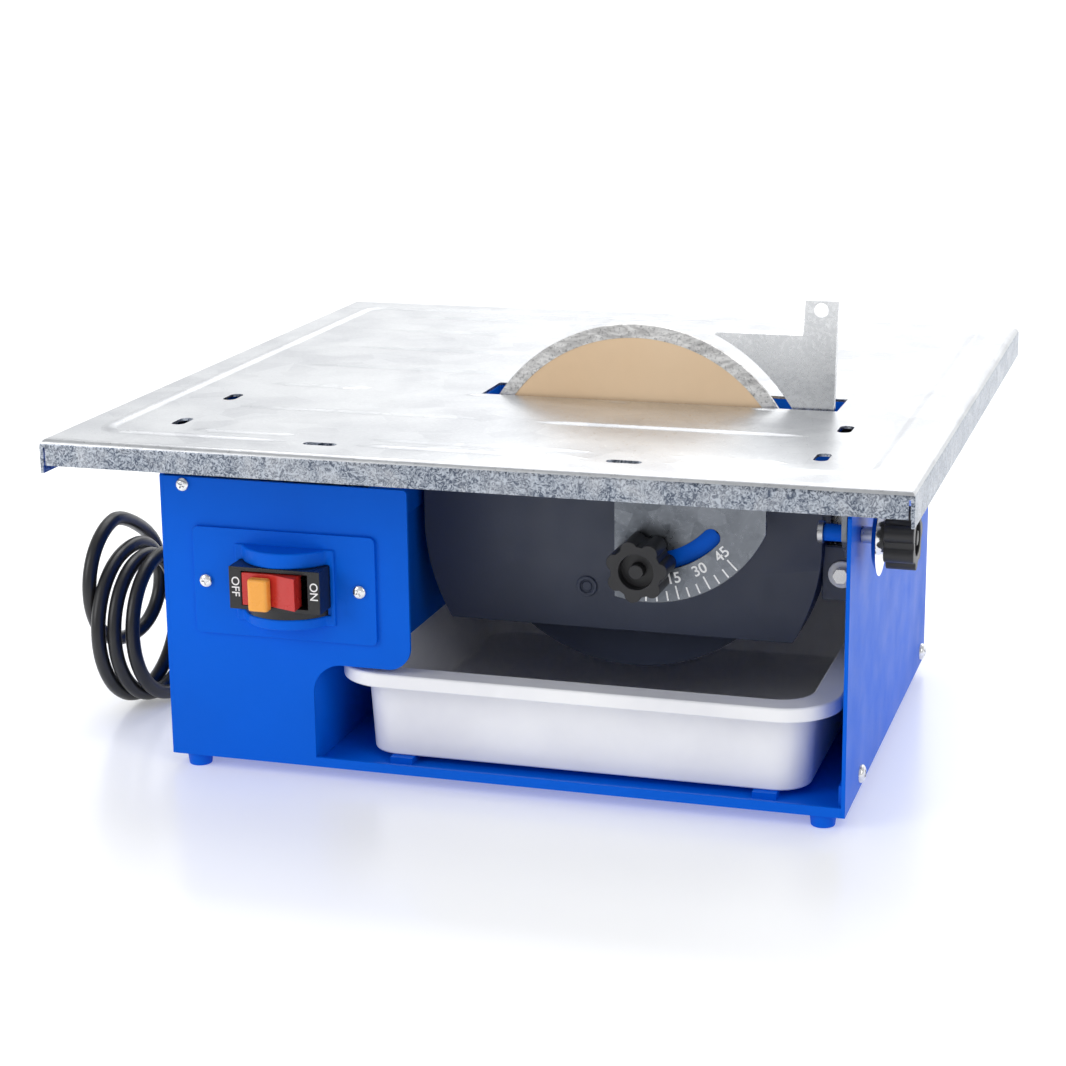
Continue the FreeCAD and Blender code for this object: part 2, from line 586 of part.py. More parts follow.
knife_gap = 96
KNIFE = ("blade_y - 1", "blade_y + 1")
tip_angle = math.radians(64.5)
low_angle = math.radians(-14)


def round_blade(angle):
    """Point beside the blade's edge, at the knife's distance."""
    return Vector(S["shaft_x"] + knife_gap * math.cos(angle), S["shaft_z"] + knife_gap * math.sin(angle), 0)


knife_points = [
    round_blade(tip_angle), Vector(88.5, 224, 0), Vector(133, 224, 0), Vector(134.4, 242, 0),
    Vector(151.3, 242, 0), Vector(150, 186, 0), Vector(150, 168, 0), Vector(167, 164, 0),
    Vector(167, 104, 0), Vector(146, 104, 0), round_blade(low_angle),
]
knife_edges = [Part.LineSegment(first, second) for first, second in zip(knife_points, knife_points[1:])]
knife_edges.append(Part.Arc(knife_points[-1], round_blade((tip_angle + low_angle) / 2), knife_points[0]))
knife_plate = slab("knife_plate", "XZ_Plane", knife_edges, KNIFE)
knife_bolt_places = [(158, 118), (158, 150)]
knife_holes = [rod("knife_hole_top", "Y", (142.4, 237.2), KNIFE, 3.6)]
mount_holes = []
knife_bolts = []
for index, place in enumerate(knife_bolt_places):
    knife_holes.append(rod("knife_hole_%d" % index, "Y", place, KNIFE, 3))
    mount_holes.append(rod("mount_hole_%d" % index, "Y", place, ("blade_y + 1", -40), 3))
    knife_bolts.append(fuse("knife_bolt_%d" % index,
                            rod("knife_bolt_head_%d" % index, "Y", place, ("blade_y - 5", "blade_y - 1"), 5),
                            rod("knife_bolt_shank_%d" % index, "Y", place, ("blade_y - 1", -40), 3)))
node("riving_knife", cut("riving_knife_solid", knife_plate, *knife_holes))
node("knife_mount", cut("knife_mount_solid",
                        box("knife_block", (149, 167), ("blade_y + 1", "plate_front"), (106, 162)),
                        *mount_holes))
node("knife_bolts", group("knife_bolt_group", *knife_bolts))

# --- switch -----------------------------------------------------------------------------
plate_outline = [(-160, 75.6, 3), (-61, 75.6, 3), (-61, 132, 3), (-160, 132, 3)]
switch_face = slab("switch_face", "XZ_Plane", rounded(plate_outline), ("case_front - 2", "case_front"))
window_low = box("plate_window", ("switch_x - 22.5", "switch_x + 22.5"),
                 ("case_front - 3", "case_front + 1"), ("body_low + 0.5", "body_high - 0.5"))
plate_holes = [rod("plate_hole_%d" % index, "Y", (x, switch_screw_z), ("case_front - 3", "case_front"), 1.8)
               for index, x in enumerate(switch_screw_x)]
node("switch_plate", cut("switch_plate_solid", switch_face, window_low, *plate_holes))
HOOD_SIDES = ("switch_x - 27", "switch_x + 27")
HOOD_BACK = (-163.5, "case_front - 2")
VISOR, LOWER_LIP, LOWER_VISOR = ("body_high", "body_high + 8"), ("body_low - 4.5", "body_low"), (84.5, "body_low - 4.5")


def bowed_shelf(name, radius, zs):
    """Shelf on the switch plate whose front edge is an arc."""
    return common(name, rod(name + "_disc", "Z", ("switch_x", -151.4), zs, radius),
                  box(name + "_half", ("switch_x - 30", "switch_x + 30"), (-180, "case_front - 2"), zs))


node("switch_hood", fuse("switch_hood_solid",
                         bowed_shelf("visor", 25.5, VISOR), bowed_shelf("lower_visor", 25.5, LOWER_VISOR),
                         box("hood_left", ("switch_x - 27", "switch_x - 24.5"), HOOD_BACK, (84.5, "body_high + 8")),
                         box("hood_right", ("switch_x + 24.5", "switch_x + 27"), HOOD_BACK, (84.5, "body_high + 8")),
                         box("hood_top_bar", HOOD_SIDES, HOOD_BACK, VISOR),
                         box("hood_low_bar", HOOD_SIDES, HOOD_BACK, LOWER_VISOR)))
body_block = fuse("body_all",
                  box("body_case", ("switch_x - 22.5", "switch_x + 22.5"), (-162, -128),
                      ("body_low + 0.5", "body_high - 0.5")),
                  box("body_frame", ("switch_x - 24.5", "switch_x + 24.5"), (-177, -162),
                      ("body_low", "body_high")),
                  bowed_shelf("body_lip", 25.2, LOWER_LIP))
body_room = box("body_room", ("switch_x - 17.9", "switch_x + 17.9"), (-178, -160),
                ("body_low + 2", "body_high - 2"))
pin_bore = rod("pin_bore", "Z", ("switch_x", "rocker_y"), ("body_low + 0.5", "body_high - 0.5"), 1.5)
node("switch_body", cut("switch_body_solid", body_block, body_room, pin_bore))
node("switch_pin", rod("rocker_pin", "Z", ("switch_x", "rocker_y"), ("body_low + 0.5", "body_high - 0.5"), 1.5))
node("switch_screws", group("switch_screw_group", *[
    fuse("switch_screw_%d" % index,
         rod("switch_screw_head_%d" % index, "Y", (x, z), (face - 2.2, face), 3.5),
         rod("switch_screw_shank_%d" % index, "Y", (x, z), (face, "case_front + 1.8"), 1.8))
    for index, (x, z, face) in enumerate(
        [(x, switch_screw_z, -162) for x in switch_screw_x] + [(*corner_screw, -160)])]))
rocker_outline = [(-13, 0, 0), (-15.5, -10.7, 0), (0, -8, 0), (15.5, -10.7, 0), (13, 0, 0), (0, 6.5, 0)]
rocker_solid = slab("rocker_solid", "XY_Plane", rounded(rocker_outline),
                    ("body_low + 2.6", "body_high - 2.6"))
rocker_solid.Placement = Placement(Vector(S["switch_x"], S["rocker_y"], 0), Rotation(Vector(0, 0, 1), -10))
key_slot = box("key_slot", ("switch_x - 8.5", "switch_x - 4.9"), (-179, "rocker_y - 0.5"), (98.8, 111.2))
node("switch_rocker", cut("switch_rocker_solid", rocker_solid, key_slot,
                          rod("rocker_bore", "Z", ("switch_x", "rocker_y"), ("body_low", "body_high"), 1.54)))
key_left, key_right = S["switch_x"] - 12, S["switch_x"] - 1.2
key_edges = [(key_left, -184, 2), (key_right, -184, 2), (key_right, -178.2, 0), (key_left, -178.2, 0)]
key_grip = slab("key_grip", "XY_Plane", rounded(key_edges), (95.6, 112.3))
key_tongue = box("key_tongue", ("switch_x - 8.2", "switch_x - 5.2"), (-178.5, -171), (99.1, 110.9))
node("safety_key", fuse("safety_key_solid", key_grip, key_tongue))
node("capacitor", rod("capacitor_can", "Y", (-140, 26.3), (-90, -20), 17))

# --- water tray -------------------------------------------------------------------------


def rounded_field(grow, radius):
    """Rounded rectangle round the tray's mouth, grown by one distance."""
    left, right = S["tray_left"] - grow, S["tray_right"] + grow
    front, back = S["tray_front"] - grow, S["tray_back"] + grow
    return rounded([(left, front, radius), (right, front, radius), (right, back, radius), (left, back, radius)])


tray = doc.addObject("PartDesign::Body", "tray_body")
bind(tray, "Placement.Base.z", "tray_rim")
steps = (
    ("tray_basin", "PartDesign::Pad", rounded_field(0, 20), "tray_rim - tray_low", -3.5),
    ("tray_flange_pad", "PartDesign::Pad", rounded_field(S["tray_flange"], 30), "tray_wall", 0),
    ("tray_lip", "PartDesign::Pad",
     rounded_field(S["tray_flange"], 30) + rounded_field(S["tray_flange"] - 2, 28), "5 + tray_wall", 0),
    ("tray_hollow", "PartDesign::Pocket", rounded_field(-S["tray_wall"], 17.5),
     "tray_rim - tray_low - tray_wall", -3.5),
)
for name, kind, edges, depth, taper in steps:
    feature_sketch = sketch_on(tray, name + "_outline", "XY_Plane", edges)
    feature = tray.newObject(kind, name)
    feature.Profile = feature_sketch
    bind(feature, "Length", depth)
    feature.TaperAngle = taper
    feature.Reversed = kind.endswith("Pad")
    tray.Tip = feature
    doc.recompute()
node("water_tray", tray)

# --- mains cord -------------------------------------------------------------------------
grip_hex = doc.addObject("Part::Prism", "grip_hex")
grip_hex.Polygon = 6
bind(grip_hex, "Circumradius", 13)
bind(grip_hex, "Height", 7)
grip_hex.Placement = Placement(Vector(S["cord_x"], S["case_back"], S["cord_z"]), TURN["Y"])
CORD = ("cord_x", "cord_z")
node("cord_grip", cut(
    "cord_grip_solid",
    fuse("grip_all", grip_hex,
         rod("grip_thread", "Y", CORD, ("case_back - 6", "case_back"), 8),
         rod("grip_boot", "Y", CORD, ("case_back + 7", "case_back + 34"), 8, 5.2)),
    rod("grip_bore", "Y", CORD, ("case_back - 6", "case_back + 40"), "cord_radius + 0.1")))

start_y = S["case_back"] + 8
route = [
    Vector(S["cord_x"], start_y, S["cord_z"]), Vector(-130, 170, 58), Vector(-173, 200, 40),
    Vector(-215, 178, 16), Vector(-216, 100, 4.6), Vector(-204, 24, 4.6), Vector(-229, -45, 13),
]
edges = []
last = route[0]
for before, corner, after in zip(route, route[1:], route[2:]):
    back, ahead = before - corner, after - corner
    run = min(back.Length, ahead.Length)
    half_turn = (math.pi - back.getAngle(ahead)) / 2
    reach = 0.45 * run
    radius = reach / math.tan(half_turn)
    print("cord turn %.0f deg, radius %.1f mm" % (math.degrees(2 * half_turn), radius))
    back.normalize()
    ahead.normalize()
    enter, leave = corner + back * reach, corner + ahead * reach
    inward = back + ahead
    inward.normalize()
    middle = corner + inward * (radius / math.cos(half_turn) - radius)
    edges.append(Part.LineSegment(last, enter).toShape())
    edges.append(Part.Arc(enter, middle, leave).toShape())
    last = leave
edges.append(Part.LineSegment(last, route[-1]).toShape())
path = Part.Wire(edges)
section = Part.Wire(Part.makeCircle(S["cord_radius"], route[0], route[1] - route[0]))
cord = doc.addObject("Part::Feature", "cord_tube")
cord.Shape = path.makePipeShell([section], True, False)
length = path.Length
print("cord tube %.0f mm, volume ratio %.4f" % (
    length, cord.Shape.Volume / (math.pi * S["cord_radius"] ** 2 * length)))
node("power_cord", cord)

coil_centre = Vector(-238.5, -62, S["coil_radius"] + S["coil_thick"])
coil = doc.addObject("Part::Torus", "coil_ring")
bind(coil, "Radius1", "coil_radius")
bind(coil, "Radius2", "coil_thick")
coil.Placement = Placement(coil_centre, Rotation(Vector(0, 0, 1), Vector(0.998, -0.07, 0)))
node("cord_coil", coil)

PLUG = (-232, 18.6)
tail_from, tail_to = Vector(-237, -17, 30), Vector(PLUG[0], 26, PLUG[1])
tail = doc.addObject("Part::Cylinder", "plug_tail")
bind(tail, "Radius", "cord_radius")
bind(tail, "Height", (tail_to - tail_from).Length)
tail.Placement = Placement(tail_from, Rotation(Vector(0, 0, 1), tail_to - tail_from))
plug_body = rod("plug_body", "Y", PLUG, (24, 62), 14, 18.5)
plug_pins = [rod("plug_pin_%d" % index, "Y", (PLUG[0] + offset, PLUG[1]), (62, 81), 2.4)
             for index, offset in enumerate((-9.5, 9.5))]
node("plug", fuse("plug_solid", tail, plug_body, *plug_pins))

# --- check and write --------------------------------------------------------------------
doc.recompute()
broken = [obj.Label for obj in doc.Objects if {"Invalid", "Error"} & set(obj.State)]
broken += [obj.Label for obj in NODES if obj.Shape.isNull() or not obj.Shape.isValid()]
if broken:
    raise RuntimeError("broken: " + ", ".join(broken))
for obj in NODES:
    obj.Shape.exportStep("parts/%s.step" % obj.Label)
    bounds = obj.Shape.BoundBox
    print("%-18s solids %d  x %.1f..%.1f  y %.1f..%.1f  z %.1f..%.1f  vol %.0f" % (
        obj.Label, len(obj.Shape.Solids), bounds.XMin, bounds.XMax, bounds.YMin, bounds.YMax,
        bounds.ZMin, bounds.ZMax, obj.Shape.Volume))
print(len(NODES), "nodes")
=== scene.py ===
import json
import math

import bmesh
import bpy
from mathutils import Matrix, Vector


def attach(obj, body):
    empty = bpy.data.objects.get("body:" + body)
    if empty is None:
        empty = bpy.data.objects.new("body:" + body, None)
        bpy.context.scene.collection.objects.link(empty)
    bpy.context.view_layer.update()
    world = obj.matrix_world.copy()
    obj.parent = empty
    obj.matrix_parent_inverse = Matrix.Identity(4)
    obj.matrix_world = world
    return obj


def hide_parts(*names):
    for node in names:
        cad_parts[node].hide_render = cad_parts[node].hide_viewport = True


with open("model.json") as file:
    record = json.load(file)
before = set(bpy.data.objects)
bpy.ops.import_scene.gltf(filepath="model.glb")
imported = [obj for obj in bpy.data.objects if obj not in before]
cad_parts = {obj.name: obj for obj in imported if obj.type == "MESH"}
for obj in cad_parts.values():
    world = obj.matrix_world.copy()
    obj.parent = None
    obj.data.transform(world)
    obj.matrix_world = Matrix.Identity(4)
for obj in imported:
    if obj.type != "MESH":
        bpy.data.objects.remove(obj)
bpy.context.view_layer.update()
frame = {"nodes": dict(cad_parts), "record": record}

MM = 0.001
NODES = frame["nodes"]


def mm(*values):
    """Vector in metres from values in mm."""
    return Vector([value * MM for value in values])


# --- camera ------------------------------------------------------------------------------
CAMERA_AT = mm(357.9, -1249.8, 440.8)
YAW, PITCH, ROLL = 0.2994, 0.258, -0.0109
LENS = 81.46

ahead = Vector((-math.sin(YAW) * math.cos(PITCH), math.cos(YAW) * math.cos(PITCH), -math.sin(PITCH)))
across = Vector((math.cos(YAW), math.sin(YAW), 0))
upward = across.cross(ahead)
right = across * math.cos(ROLL) + upward * math.sin(ROLL)
upward = upward * math.cos(ROLL) - across * math.sin(ROLL)
camera_data = bpy.data.cameras.new("camera")
camera_data.lens = LENS
camera_data.sensor_width = 36
camera_data.clip_start = 0.05
camera = bpy.data.objects.new("camera", camera_data)
camera_turn = Matrix((right, upward, -ahead)).transposed().to_4x4()
camera.matrix_world = Matrix.Translation(CAMERA_AT) @ camera_turn
bpy.context.collection.objects.link(camera)
bpy.context.scene.camera = camera


# --- materials ---------------------------------------------------------------------------
class Paint:
    """A Principled material with a few procedural layers added by name."""

    def __init__(self, name, color, rough, metal=0.0, **sockets):
        self.material = bpy.data.materials.new(name)
        self.material.use_nodes = True
        self.tree = self.material.node_tree
        self.shader = self.tree.nodes["Principled BSDF"]
        self.shader.inputs["Base Color"].default_value = (*color, 1)
        self.shader.inputs["Roughness"].default_value = rough
        self.shader.inputs["Metallic"].default_value = metal
        for label, value in sockets.items():
            self.shader.inputs[label.replace("_", " ")].default_value = value
        self.place = self.add("ShaderNodeTexCoord").outputs["Object"]
        self.last_normal = None

    def add(self, kind, **settings):
        item = self.tree.nodes.new(kind)
        for label, value in settings.items():
            setattr(item, label, value)
        return item

    def link(self, source, target):
        self.tree.links.new(source, target)

    def stretched(self, scale):
        mapping = self.add("ShaderNodeMapping")
        mapping.inputs["Scale"].default_value = scale
        self.link(self.place, mapping.inputs["Vector"])
        return mapping.outputs["Vector"]

    def noise(self, scale, detail=3.0, stretch=(1, 1, 1), distortion=0.0):
        item = self.add("ShaderNodeTexNoise")
        item.inputs["Scale"].default_value = scale
        item.inputs["Detail"].default_value = detail
        item.inputs["Distortion"].default_value = distortion
        self.link(self.stretched(stretch), item.inputs["Vector"])
        return item.outputs["Fac"]

    def cells(self, scale):
        item = self.add("ShaderNodeTexVoronoi")
        item.inputs["Scale"].default_value = scale
        self.link(self.place, item.inputs["Vector"])
        return item.outputs["Color"]

    def ramp(self, source, low, high, first, second):
        item = self.add("ShaderNodeMapRange", clamp=True)
        limits = {"From Min": low, "From Max": high, "To Min": first, "To Max": second}
        for label, value in limits.items():
            item.inputs[label].default_value = value
        self.link(source, item.inputs["Value"])
        return item.outputs["Result"]

    def mix(self, factor, first, second):
        item = self.add("ShaderNodeMix", data_type="RGBA")
        self.link(factor, item.inputs["Factor"])
        for socket, value in ((item.inputs[6], first), (item.inputs[7], second)):
            if isinstance(value, bpy.types.NodeSocket):
                self.link(value, socket)
            else:
                socket.default_value = (*value, 1)
        return item.outputs[2]

    def color(self, source):
        self.link(source, self.shader.inputs["Base Color"])

    def rough(self, source):
        self.link(source, self.shader.inputs["Roughness"])

    def bump(self, source, height):
        item = self.add("ShaderNodeBump")
        item.inputs["Strength"].default_value = 1.0
        item.inputs["Distance"].default_value = height
        self.link(source, item.inputs["Height"])
        if self.last_normal:
            self.link(self.last_normal, item.inputs["Normal"])
        self.last_normal = item.outputs["Normal"]
        self.link(self.last_normal, self.shader.inputs["Normal"])


def shade(color, amount):
    """The same colour made darker or lighter."""
    return tuple(min(1, value * amount) for value in color)


def powder_coat(name, color, rough, grain=900, height=0.00006):
    """Paint baked on sheet metal, a little uneven."""
    paint = Paint(name, color, rough, Specular_IOR_Level=0.10)
    broad = paint.noise(9, 4)
    paint.color(paint.mix(paint.ramp(broad, 0.3, 0.7, 0, 1),
                          shade(color, 0.92), shade(color, 1.06)))
    paint.rough(paint.ramp(paint.noise(40, 5), 0.3, 0.7, rough - 0.04, rough + 0.06))
    paint.bump(paint.noise(grain, 2), height)
    return paint.material


def galvanised(name, bright, dark, rough, fleck=0.4, scale=60):
    """Zinc sheet: large soft spangle, fine grain and faint rolling lines."""
    paint = Paint(name, bright, rough, 1.0)
    spangle = paint.cells(scale)
    broad = paint.noise(14, 5, distortion=1.2)
    grain = paint.noise(420, 4, (1, 3, 1))
    base = paint.mix(paint.ramp(broad, 0.35, 0.68, 0, 1), dark, bright)
    speck = paint.ramp(spangle, 0.1, 0.9, 0.0, fleck)
    paint.color(paint.mix(speck, base, shade(bright, 1.12)))
    paint.rough(paint.ramp(grain, 0.3, 0.7, rough - 0.07, rough + 0.1))
    paint.bump(grain, 0.00003)
    paint.bump(broad, 0.00012)
    return paint.material


def moulded(name, color, rough, height=0.00003, scale=1500):
    """Plastic with a fine moulded grain."""
    paint = Paint(name, color, rough)
    paint.color(paint.mix(paint.ramp(paint.noise(16, 4), 0.3, 0.7, 0, 1),
                          shade(color, 0.9), shade(color, 1.08)))
    paint.rough(paint.ramp(paint.noise(70, 4), 0.3, 0.7, rough - 0.05, rough + 0.06))
    paint.bump(paint.noise(scale, 2), height)
    return paint.material


def turned(name, color, rough, stretch=(1, 1, 1)):
    """Bare machined metal."""
    paint = Paint(name, color, rough, 1.0)
    grain = paint.noise(300, 4, stretch)
    paint.color(paint.mix(paint.ramp(grain, 0.3, 0.7, 0, 1), shade(color, 0.86), color))
    paint.rough(paint.ramp(grain, 0.3, 0.7, rough - 0.05, rough + 0.08))
    paint.bump(grain, 0.00002)
    return paint.material


blue = powder_coat("blue_coat", (0.0, 0.118, 0.70), 0.40)
zinc_top = galvanised("zinc_sheet", (0.62, 0.63, 0.64), (0.48, 0.49, 0.51), 0.33)
zinc_plate = galvanised("zinc_plate", (0.22, 0.235, 0.26), (0.075, 0.085, 0.10), 0.3, 0.5, 110)
knife_zinc = galvanised("zinc_knife", (0.93, 0.94, 0.95), (0.76, 0.77, 0.78), 0.27, 0.4, 130)
screw_zinc = turned("screw_zinc", (0.88, 0.88, 0.89), 0.2)
steel = turned("steel", (0.60, 0.60, 0.61), 0.30)
chrome = turned("chrome", (0.86, 0.86, 0.87), 0.10)
white = moulded("tray_plastic", (0.92, 0.92, 0.96), 0.33)
black = moulded("black_plastic", (0.014, 0.014, 0.016), 0.42)
switch_black = moulded("switch_plastic", (0.012, 0.012, 0.013), 0.30)
red = moulded("red_rocker", (0.60, 0.030, 0.025), 0.25, 0.00001)
orange = moulded("orange_key", (1.0, 0.42, 0.06), 0.28, 0.00001)
rubber = moulded("cord_sheath", (0.013, 0.013, 0.014), 0.34)
slate = moulded("guard_plastic", (0.052, 0.064, 0.102), 0.42, 0.00005, 700)
cast = galvanised("cast_metal", (0.5, 0.51, 0.52), (0.36, 0.37, 0.38), 0.5)
copper = turned("wound_core", (0.62, 0.30, 0.15), 0.35, (1, 30, 1))
iron = powder_coat("dark_iron", (0.012, 0.013, 0.016), 0.35)
ink_white = moulded("white_print", (0.93, 0.93, 0.93), 0.5)

blade_paint = Paint("blade_face", (0.95, 0.71, 0.46), 0.40, 0.3)
blade_grain = blade_paint.noise(7, 5)
blade_paint.color(blade_paint.mix(blade_paint.ramp(blade_grain, 0.3, 0.7, 0, 1),
                                  (0.90, 0.65, 0.41), (0.97, 0.74, 0.50)))
blade_paint.rough(blade_paint.ramp(blade_paint.noise(240, 4), 0.3, 0.7, 0.34, 0.48))
blade_paint.bump(blade_paint.noise(700, 3), 0.00002)
blade_face = blade_paint.material

grit_paint = Paint("diamond_rim", (0.4, 0.4, 0.4), 0.5, 0.75)
grit = grit_paint.noise(800, 5, distortion=0.6)
worn = grit_paint.noise(90, 4, (1, 1, 3), 1.5)
grit_base = grit_paint.mix(grit_paint.ramp(worn, 0.35, 0.65, 0, 1),
                           (0.55, 0.54, 0.53), (0.95, 0.94, 0.92))
grit_paint.color(grit_paint.mix(grit_paint.ramp(grit, 0.54, 0.70, 0, 0.7), grit_base, (0.16, 0.16, 0.16)))
grit_paint.bump(grit, 0.00025)
rim_grit = grit_paint.material

# Aprons of the table sheet: the frosty spangle is the zinc's real pattern, but its colours are far darker
# than the top sheet's zinc, which is painted shade on the upright faces.
apron_paint_shaded = Paint("apron_zinc_painted_shade", (0.6, 0.6, 0.62), 0.36, 1.0)
frost = apron_paint_shaded.noise(420, 6, distortion=2.2)
broad_frost = apron_paint_shaded.noise(60, 4, distortion=1.0)
# Frost pattern between dark zinc colours: painted shade on the aprons.
frost_in_painted_shade = apron_paint_shaded.mix(apron_paint_shaded.ramp(frost, 0.4, 0.62, 0, 1),
                             (0.10, 0.12, 0.16), (0.50, 0.54, 0.60))
apron_paint_shaded.color(apron_paint_shaded.mix(apron_paint_shaded.ramp(broad_frost, 0.45, 0.7, 0, 0.35),
                                  frost_in_painted_shade, (0.72, 0.73, 0.75)))
apron_paint_shaded.rough(apron_paint_shaded.ramp(frost, 0.35, 0.65, 0.24, 0.48))
apron_paint_shaded.bump(frost, 0.00008)
apron_zinc_painted_shade = apron_paint_shaded.material


# --- helpers for pieces ------------------------------------------------------------------
def linked(name, mesh, material, body):
    """New piece of one material that rides a body."""
    obj = bpy.data.objects.new(name, mesh)
    bpy.context.collection.objects.link(obj)
    mesh.materials.clear()
    mesh.materials.append(material)
    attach(obj, body)
    return obj


def smooth(mesh, angle=35):
    for polygon in mesh.polygons:
        polygon.use_smooth = True
    mesh.set_sharp_from_angle(angle=math.radians(angle))


def bevel(obj, width):
    modifier = obj.modifiers.new("edge", "BEVEL")
    modifier.width = width * MM
    modifier.segments = 2
    modifier.limit_method = "ANGLE"
    modifier.angle_limit = math.radians(32)
    modifier.harden_normals = False


BODIES = frame["record"]["behaviour"]["bodies"]
BODY_OF = {node: body for body, nodes in BODIES.items() for node in nodes}


def soften(node, material, width):
    """A CAD node's own shape with its triangles merged and its edges rounded."""
    shape = bmesh.new()
    shape.from_mesh(NODES[node].data)
    bmesh.ops.remove_doubles(shape, verts=shape.verts, dist=0.002 * MM)
    bmesh.ops.dissolve_limit(shape, angle_limit=math.radians(1.5), verts=shape.verts, edges=shape.edges)
    mesh = bpy.data.meshes.new(node + "_shape")
    shape.to_mesh(mesh)
    shape.free()
    smooth(mesh)
    obj = linked(node + "_soft", mesh, material, BODY_OF[node])
    bevel(obj, width)
    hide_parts(node)


def paint_node(node, material):
    """Shows a CAD node as it is, in a material."""
    data = NODES[node].data
    if not data.materials:
        data.materials.append(material)
    for index in range(len(data.materials)):
        data.materials[index] = material
    for place in NODES[node].material_slots:
        place.material = material


def lathe(profile, steps=48):
    """Closed surface of a (radius, height) profile turned about local Z, in mm."""
    shape = bmesh.new()
    rings = []
    for radius, height in profile:
        if radius == 0:
            rings.append([shape.verts.new(mm(0, 0, height))])
            continue
        rings.append([
            shape.verts.new(mm(radius * math.cos(2 * math.pi * step / steps),
                               radius * math.sin(2 * math.pi * step / steps), height))
            for step in range(steps)
        ])
    for low, high in zip(rings, rings[1:]):
        for step in range(steps):
            following = (step + 1) % steps
            if len(low) == 1:
                shape.faces.new((low[0], high[following], high[step]))
            elif len(high) == 1:
                shape.faces.new((low[step], low[following], high[0]))
            else:
                shape.faces.new((low[step], low[following], high[following], high[step]))
    bmesh.ops.recalc_face_normals(shape, faces=shape.faces)
    return shape


def mesh_from(shape, name, place=Matrix.Identity(4)):
    """Smooth mesh of a bmesh set at a placement."""
    shape.transform(place)
    mesh = bpy.data.meshes.new(name)
    shape.to_mesh(mesh)
    shape.free()
    smooth(mesh)
    return mesh


def facing(direction, at):
    """Placement whose local Z points along a direction."""
    turn = Vector((0, 0, 1)).rotation_difference(Vector(direction)).to_matrix().to_4x4()
    return Matrix.Translation(at) @ turn


# --- mains cord --------------------------------------------------------------------------
CORD_DIAMETER = 8 * MM
COIL_HEADING = math.radians(86)
COIL_BACK = Vector((math.cos(COIL_HEADING), math.sin(COIL_HEADING), 0))
POINTS_PER_TURN = 14
COIL_TURNS = 3.57
# Turns made so far, and the middle (x, y, z) and radius of the coil there. The last turns hang higher.
LOOPS = [(0.0, -224, -58, 45.4, 41), (1.0, -233, -62, 45.4, 41), (2.0, -241.5, -68, 45, 40.5),
         (2.5, -245.5, -66, 50, 40), (3.0, -252.3, -62, 72, 37), (3.6, -252.8, -60, 70, 36.5)]
lead_in = [mm(-130, 116, 58), mm(-130, 170, 58), mm(-173, 200, 40), mm(-215, 178, 16),
           mm(-216, 100, 4.6), mm(-204, 24, 4.6), mm(-219, -28, 4.6)]
lead_out = [mm(-253, -20, 86), mm(-252.5, -13, 66), mm(-251, -8, 46), mm(-243, 0, 28), mm(-233, 12, 19.5),
            mm(-232, 30, 18.6)]


def turn_point(travelled):
    """Point of the coil after a number of turns, counted from its lowest point."""
    first = max(index for index, loop in enumerate(LOOPS[:-1]) if loop[0] <= travelled)
    low, high = LOOPS[first], LOOPS[first + 1]
    part = (travelled - low[0]) / (high[0] - low[0])
    x, y, z, radius = [start + (end - start) * part for start, end in zip(low[1:], high[1:])]
    angle = math.radians(-90 - 360 * travelled)
    return mm(x, y, z) + (COIL_BACK * math.cos(angle) + Vector((0, 0, math.sin(angle)))) * radius * MM


coil_points = int(COIL_TURNS * POINTS_PER_TURN) + 1
turn_points = [turn_point(index / POINTS_PER_TURN) for index in range(coil_points)]
curve = bpy.data.curves.new("cord", "CURVE")
curve.dimensions = "3D"
curve.bevel_depth = CORD_DIAMETER / 2
curve.bevel_resolution = 5
curve.resolution_u = 6
curve.use_fill_caps = True
spline = curve.splines.new("NURBS")
cord_points = lead_in + turn_points + lead_out
spline.points.add(len(cord_points) - 1)
for point, place in zip(spline.points, cord_points):
    point.co = (*place, 1)
spline.order_u = 3
spline.use_endpoint_u = True
cord = bpy.data.objects.new("mains_cord", curve)
bpy.context.collection.objects.link(cord)
curve.materials.append(rubber)
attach(cord, "case")
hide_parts("power_cord", "cord_coil")

BACKWARD = (0, 1, 0)
GRIP_X, GRIP_Z = -130, 58
WALL_BACK = 108.05
relief_profile = [(4.15, 0), (8.2, 0), (8.2, 2)]
for index in range(7):
    height = 3 + index * 3.4
    width = 7.6 - index * 0.42
    relief_profile += [(width, height), (width, height + 1.9),
                       (width - 0.9, height + 2.2), (width - 0.9, height + 3.1)]
relief_profile += [(5.0, 27), (4.15, 27), (4.15, 0)]
relief_mesh = mesh_from(lathe(relief_profile), "strain_relief", facing(BACKWARD, mm(GRIP_X, 115, GRIP_Z)))
relief = linked("strain_relief", relief_mesh, black, "case")
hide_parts("cord_grip")
nut_shape = lathe([(4.2, 0), (12.5, 0), (13, 0.6), (13, 6), (12, 7), (4.2, 7), (4.2, 0)], 6)
nut_mesh = mesh_from(nut_shape, "grip_nut", facing(BACKWARD, mm(GRIP_X, WALL_BACK, GRIP_Z)))
linked("grip_nut", nut_mesh, black, "case")

